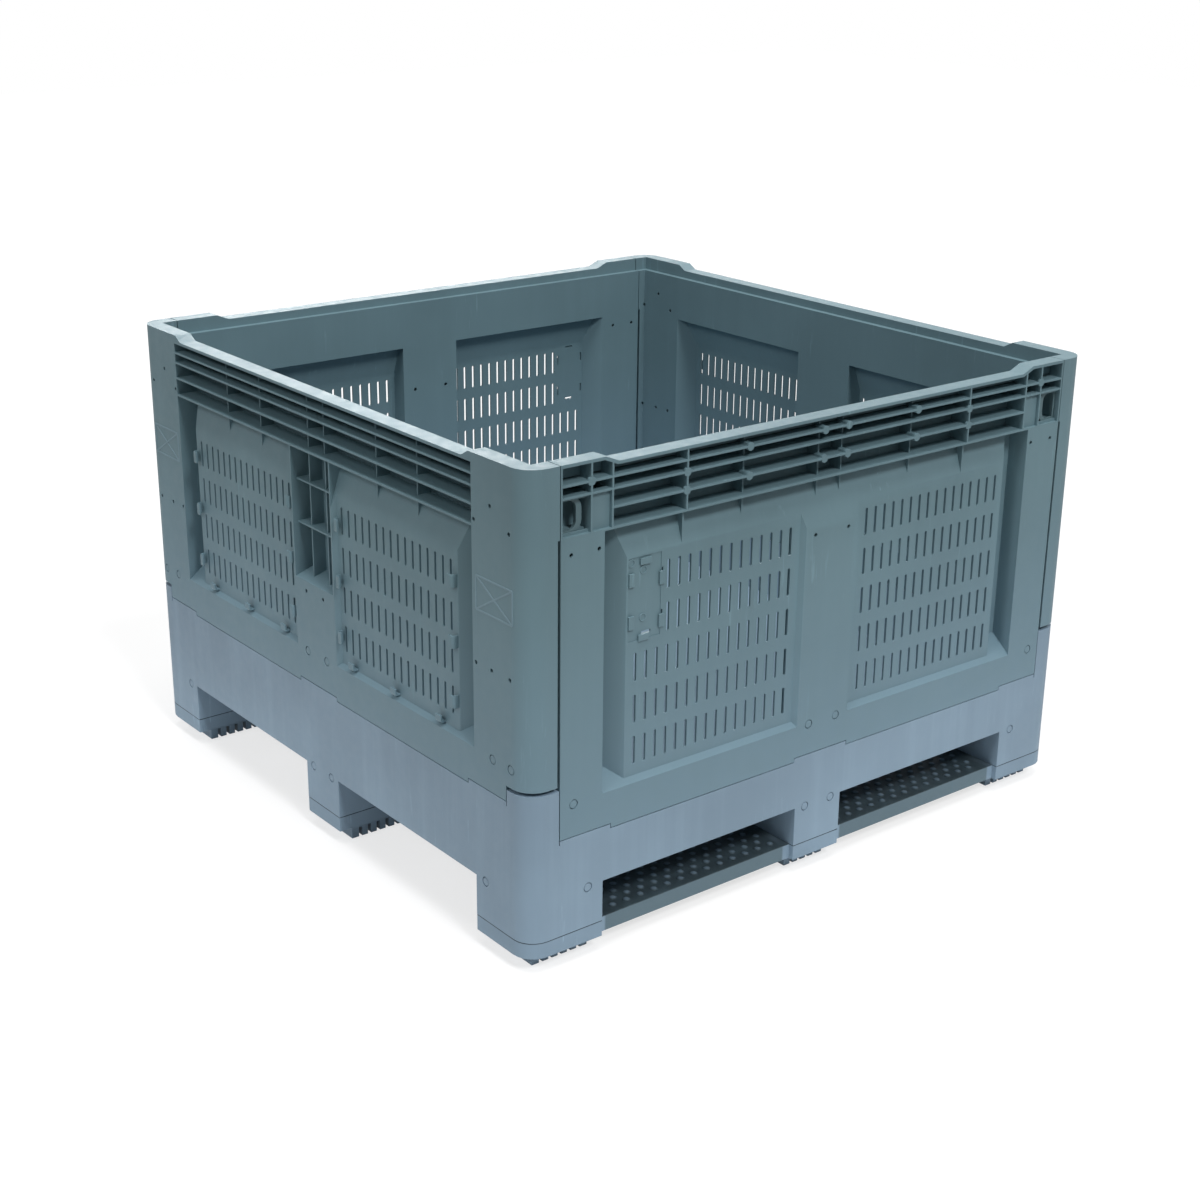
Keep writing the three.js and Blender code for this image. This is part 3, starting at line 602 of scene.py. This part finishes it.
def cut_with(piece, cutter):
    """Takes the closed cutter away from the piece and removes the cutter."""
    step = piece.modifiers.new("cut", "BOOLEAN")
    step.operation = "DIFFERENCE"
    step.solver = "EXACT"
    step.object = cutter
    shape = bpy.data.meshes.new_from_object(piece.evaluated_get(bpy.context.evaluated_depsgraph_get()))
    piece.modifiers.clear()
    piece.data = shape
    bpy.data.objects.remove(cutter)


def ease_edges(piece, width, segments=2):
    """Small rounds on every sharp edge, as a mould leaves them, with the flat areas kept flat."""
    step = piece.modifiers.new("ease", "BEVEL")
    step.width = width * MM
    step.segments = segments
    step.limit_method = "ANGLE"
    step.angle_limit = math.radians(40.0)
    step.use_clamp_overlap = True
    shape = bpy.data.meshes.new_from_object(piece.evaluated_get(bpy.context.evaluated_depsgraph_get()))
    piece.modifiers.clear()
    piece.data = shape
    bm = bmesh.new()
    bm.from_mesh(shape)
    bmesh.ops.triangulate(bm, faces=[f for f in bm.faces if len(f.verts) > 4])
    soften(bm, 38.0)
    bm.to_mesh(shape)
    bm.free()
    keep = piece.modifiers.new("flat", "WEIGHTED_NORMAL")
    keep.keep_sharp = True


def both_sides(places):
    return [(sign * u, z) for u, z in places for sign in (-1, 1)]


def hole_cutters(side, pinholes, plug_places):
    """Round plugs of space: each a closed cylinder from just outside the wall to its depth."""
    shapes = []
    kinds = ((pinholes, PINHOLE_RADIUS, PINHOLE_DEPTH), (plug_places, PLUG_RADIUS, PLUG_DEPTH))
    for places, radius, depth in kinds:
        profile = [(0, 2), (radius, 2), (radius, -depth), (0, -depth)]
        for u, z in both_sides(places):
            shapes.append(in_room(side, turned_disc(profile, 20) + np.array([u, 0, z])))
    return close_up(many("cutter", np.array(shapes)))


def slot_cutters(side):
    """Small slots through the skin under the label clips: each a closed box, as four rings of four
    corners (u, depth, z), of which the first and the last shrink to a point."""
    corner_u, corner_z = np.array([-1, 1, 1, -1]), np.array([-1, -1, 1, 1])
    grown = np.array([0.0, 1.0, 1.0, 0.0])[:, None]
    depth = np.array([-1.0, -1.0, 1.0, 1.0])[:, None] * np.ones(4) * LABEL_SLOT_DEPTH / 2
    shapes = []
    for u, z, half_u, half_z in LABEL_SLOTS:
        shape = np.stack([grown * corner_u * half_u, depth, grown * corner_z * half_z], axis=-1)
        shapes.append(in_room(side, shape + np.array([u, PANEL_DEPTH + 2.0, z])))
    return close_up(many("cutter", np.array(shapes)))


def plugs(side, places):
    """Low round plugs that sit in the shallow recesses: flat, with a rounded rim."""
    r, sink = PLUG_RADIUS - PLUG_GAP, PLUG_DEPTH
    profile = [(0, -0.35), (r - 1.0, -0.35), (r - 0.3, -0.5), (r, -0.9), (r, -sink), (0, -sink)]
    disc = turned_disc(profile, 28)
    return [in_room(side, disc + np.array([u, 0, z])) for u, z in both_sides(places)]


def dress_wall(side, kind):
    node = side + "_wall"
    piece = merged_copy(node, "moulded_" + node)
    axis = 1 if kind == "long" else 0
    outer = in_room(side, (0, 0, 0))[axis]
    round_slots(piece, axis, outer)
    marks = (LONG_PINHOLES, LONG_PLUGS) if kind == "long" else (END_PINHOLES, END_PLUGS)
    cut_with(piece, hole_cutters(side, *marks))
    if kind == "long":
        cut_with(piece, slot_cutters(side))
    ease_edges(piece, WALL_ROUND)
    finished(piece, BODIES[node], "wall_plastic", replaces=node)
    discs = close_up(many("plugs_" + node, np.array(plugs(side, marks[1]))))
    finished(discs, BODIES[node], "wall_plastic")


def dress_base():
    piece = merged_copy("pallet_base", "moulded_pallet_base")
    for side in ("front", "back", "left", "right"):
        cut_with(piece, hole_cutters(side, (), BASE_PLUGS))
    ease_edges(piece, BASE_ROUND)
    finished(piece, BODIES["pallet_base"], "base_plastic", replaces="pallet_base")
    shapes = [shape for side in ("front", "back", "left", "right") for shape in plugs(side, BASE_PLUGS)]
    discs = close_up(many("plugs_pallet_base", np.array(shapes)))
    finished(discs, BODIES["pallet_base"], "base_plastic")


def dress_plain(node, slot, width):
    piece = merged_copy(node, "moulded_" + node)
    ease_edges(piece, width)
    finished(piece, BODIES[node], slot, replaces=node)


# Small parts of the walls

def hook(side, u, z, lean_u, lean_z, half_wide):
    """A card clip: a bar that stands out of the panel and turns back over it, on a quarter round."""
    t = np.linspace(0, math.pi / 2, 5)[1:-1]
    foot = np.array([[0.0, 0.0], [0.0, HOOK_OUT - HOOK_TURN]])
    bend = np.stack([HOOK_TURN * (1 - np.cos(t)), HOOK_OUT - HOOK_TURN * (1 - np.sin(t))], axis=-1)
    tip = np.array([[HOOK_TURN, HOOK_OUT], [HOOK_REACH, HOOK_OUT]])
    run = np.concatenate([foot, bend, tip])
    lean, outward = np.array([lean_u, 0.0, lean_z]), np.array([0.0, -1.0, 0.0])
    path = np.array([u, PANEL_DEPTH + 0.5, z]) + run[:, :1] * lean + run[:, 1:] * outward
    across = np.array([lean_z, 0.0, lean_u], float)
    return in_room(side, rounded_bar(path, half_wide, HOOK_HALF_THICK, across))


def end_clips(side):
    shapes = []
    for half in (-1, 1):
        for u in END_LEDGE_CLIPS:
            shapes.append(hook(side, half * u, END_LEDGE, 0, 1, LEDGE_CLIP_HALF))
        for z in END_SIDE_CLIPS:
            shapes.append(hook(side, half * END_CLIP_COLUMNS[0], z, half, 0, SIDE_CLIP_HALF))
            shapes.append(hook(side, half * END_CLIP_COLUMNS[1], z, -half, 0, SIDE_CLIP_HALF))
    clips = close_up(many("clips_%s_wall" % side, np.array(shapes)))
    finished(clips, BODIES[side + "_wall"], "wall_plastic")


def pad_clip(side, u, z, upright):
    """A flat clip with rounded edges that stands a little off the panel, over the label field's edge."""
    half_long, half_wide = LABEL_CLIP_SIZE
    ends = np.array([[0, 0, -half_long], [0, 0, 0], [0, 0, half_long]]) if upright else np.array(
        [[-half_long, 0, 0], [0, 0, 0], [half_long, 0, 0]])
    across = (1.0, 0.0, 0.0) if upright else (0.0, 0.0, 1.0)
    path = ends + np.array([u, PANEL_DEPTH + 0.5 - LABEL_CLIP_OUT / 2, z])
    return in_room(side, rounded_bar(path, half_wide, LABEL_CLIP_OUT / 2, across, rings=20, power=12.0))


def label_clips(side):
    """The six clips round the label field, and the round ejector marks inside it."""
    clips = np.array([pad_clip(side, u, z, upright) for u, z, upright in LABEL_CLIPS])
    pads = close_up(many("label_clips_%s_wall" % side, clips))
    finished(pads, BODIES[side + "_wall"], "wall_plastic")
    profile = [(0, 0.2), (4.6, 0.2), (5.0, 1.3), (6.2, 1.3), (6.6, 0.8), (6.6, -0.6), (0, -0.6)]
    discs = [in_room(side, turned_disc(profile, 24) + np.array([u, PANEL_DEPTH + 1.0, z]))
             for u, z in LABEL_DISCS]
    marks = close_up(many("label_discs_%s_wall" % side, np.array(discs)))
    finished(marks, BODIES[side + "_wall"], "wall_plastic")


def runner_studs(node):
    """Staggered rows of low round studs on a runner's top: each the cap of a ball, height (1 - r^2)."""
    low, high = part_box(node)
    centre_y, half_wide = (low.y + high.y) / 2 / MM, (high.y - low.y) / 2 / MM
    outer = 10.0 if abs(centre_y) > 1 else 0.0
    shift = -math.copysign(outer / 2, centre_y) if outer else 0.0
    rows = int((2 * half_wide - outer - 16) // STUD_PITCH[1])
    share = np.array([0.0, 0.35, 0.6, 0.8, 0.95, 1.0])
    cap = [(STUD_RADIUS * r, STUD_HEIGHT * (1 - r * r)) for r in share]
    profile = cap + [(STUD_RADIUS, -STUD_SINK), (0, -STUD_SINK)]
    disc = turned_disc(profile, 12)
    lying = np.stack([disc[..., 0], disc[..., 2], -disc[..., 1]], axis=-1)
    columns = np.arange(BAY[0] + 12, BAY[1] - 10, STUD_PITCH[0])
    shapes = []
    for row in range(rows):
        y = centre_y + shift + (row - (rows - 1) / 2) * STUD_PITCH[1]
        offset = STUD_PITCH[0] / 2 * (row % 2)
        for side in (-1, 1):
            for x in columns + offset:
                if x < BAY[1] - 8:
                    shapes.append((lying + np.array([side * x, y, RUNNER_TOP])) * MM)
    finished(close_up(many("studs_" + node, np.array(shapes))), BODIES[node], "runner_plastic")


def square_bar(side, start, end):
    """A low rounded bar of the post's square, straight from one place (u, z) to another."""
    start, end = np.array([start[0], 0.0, start[1]]), np.array([end[0], 0.0, end[1]])
    along = (end - start) / np.linalg.norm(end - start)
    path = np.array([start, (start + end) / 2, end])
    across = (along[2], 0.0, -along[0])
    return in_room(side, rounded_bar(path, SQUARE_BAR, SQUARE_PROUD, across, power=6.0, rings=12))


def post_squares(side):
    """A square on each post: four bars round it and two across it."""
    bars = []
    for sign in (-1, 1):
        u0, u1, z0, z1 = sign * SQUARE[0], sign * SQUARE[1], SQUARE[2], SQUARE[3]
        corners = [(u0, z0), (u1, z0), (u1, z1), (u0, z1)]
        bars += [square_bar(side, corners[i], corners[(i + 1) % 4]) for i in range(4)]
        bars += [square_bar(side, corners[0], corners[2]), square_bar(side, corners[1], corners[3])]
    squares = close_up(many("post_squares_" + side, np.array(bars)))
    finished(squares, BODIES[side + "_wall"], "wall_plastic", material="worn_plastic")


set_camera()
set_world(0.17)
soft_sun("top", 1.5, 30.0, (0.05, 0.10, -1.0))
soft_sun("front", 1.9, 14.0, (0.05, 1.0, -1.15))
soft_sun("left", 0.82, 18.0, (1.0, 0.15, -0.85))
soft_sun("behind", 0.9, 14.0, (-0.60, -1.0, -0.50))
bpy.context.scene.view_settings.view_transform = "Standard"
lay_floor(12.0, 0.7, 0.95)

for wall_side, wall_kind in (("front", "long"), ("back", "long"), ("left", "end"), ("right", "end")):
    dress_wall(wall_side, wall_kind)
for wall_side in ("left", "right"):
    end_clips(wall_side)
    post_squares(wall_side)
for wall_side in ("front", "back"):
    label_clips(wall_side)
dress_base()
for runner in ("runner_front", "runner_centre", "runner_back"):
    dress_plain(runner, "runner_plastic", RUNNER_ROUND)
    runner_studs(runner)
for latch in [n for n in frame["nodes"] if n.startswith("latch_")]:
    dress_plain(latch, "latch_plastic", LATCH_ROUND)
for pin in [n for n in frame["nodes"] if n.startswith("hinge_pin_")]:
    frame["nodes"][pin].data.materials.clear()
    frame["nodes"][pin].data.materials.append(MATERIALS["pin_steel"])

bpy.context.view_layer.update()
